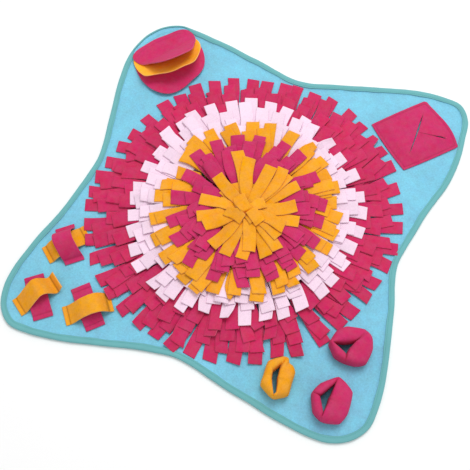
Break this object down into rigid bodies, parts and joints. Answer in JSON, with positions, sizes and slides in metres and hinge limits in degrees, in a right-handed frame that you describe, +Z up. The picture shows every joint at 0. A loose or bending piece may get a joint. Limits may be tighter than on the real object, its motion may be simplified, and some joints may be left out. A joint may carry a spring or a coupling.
{
  "type": "snuffle mat",
  "caption": "Flat fleece foraging mat with four rounded corners, a domed rosette of fleece strips and hide-and-sniff toys sewn on its corners.",
  "frame": {"origin": "on the underside of the base panel, below the middle of the rosette", "axes": "+Z up, away from the floor; the four corners lie on the diagonals of X and Y, the slit pocket's corner towards +X +Y"},
  "size_m": [0.5688, 0.5852, 0.0658],
  "materials": {
    "blue_fleece": "brushed fleece",
    "teal_tape": "woven binding tape",
    "crimson_fleece": "brushed fleece",
    "magenta_fleece": "brushed fleece",
    "pink_fleece": "brushed fleece",
    "amber_fleece": "brushed fleece"
  },
  "bodies": {
    "root": {"base_panel": "blue_fleece", "edge_binding": "teal_tape", "fringe_crimson_1": "crimson_fleece", "fringe_crimson_2": "crimson_fleece", "fringe_pink_1": "pink_fleece", "fringe_pink_2": "pink_fleece", "fringe_amber_1": "amber_fleece", "fringe_magenta_1": "magenta_fleece", "fringe_magenta_2": "magenta_fleece", "fringe_amber_2": "amber_fleece", "fringe_crown": "amber_fleece", "flap_low": "magenta_fleece", "flap_middle": "amber_fleece", "flap_top": "magenta_fleece", "slit_pocket": "magenta_fleece", "bridge_a_under": "amber_fleece", "bridge_a_over": "magenta_fleece", "bridge_b_under": "magenta_fleece", "bridge_b_over": "amber_fleece", "bridge_c_under": "magenta_fleece", "bridge_c_over": "amber_fleece", "rolled_pocket_1": "magenta_fleece", "rolled_pocket_2": "amber_fleece", "rolled_pocket_3": "magenta_fleece"}
  },
  "joints": []
}
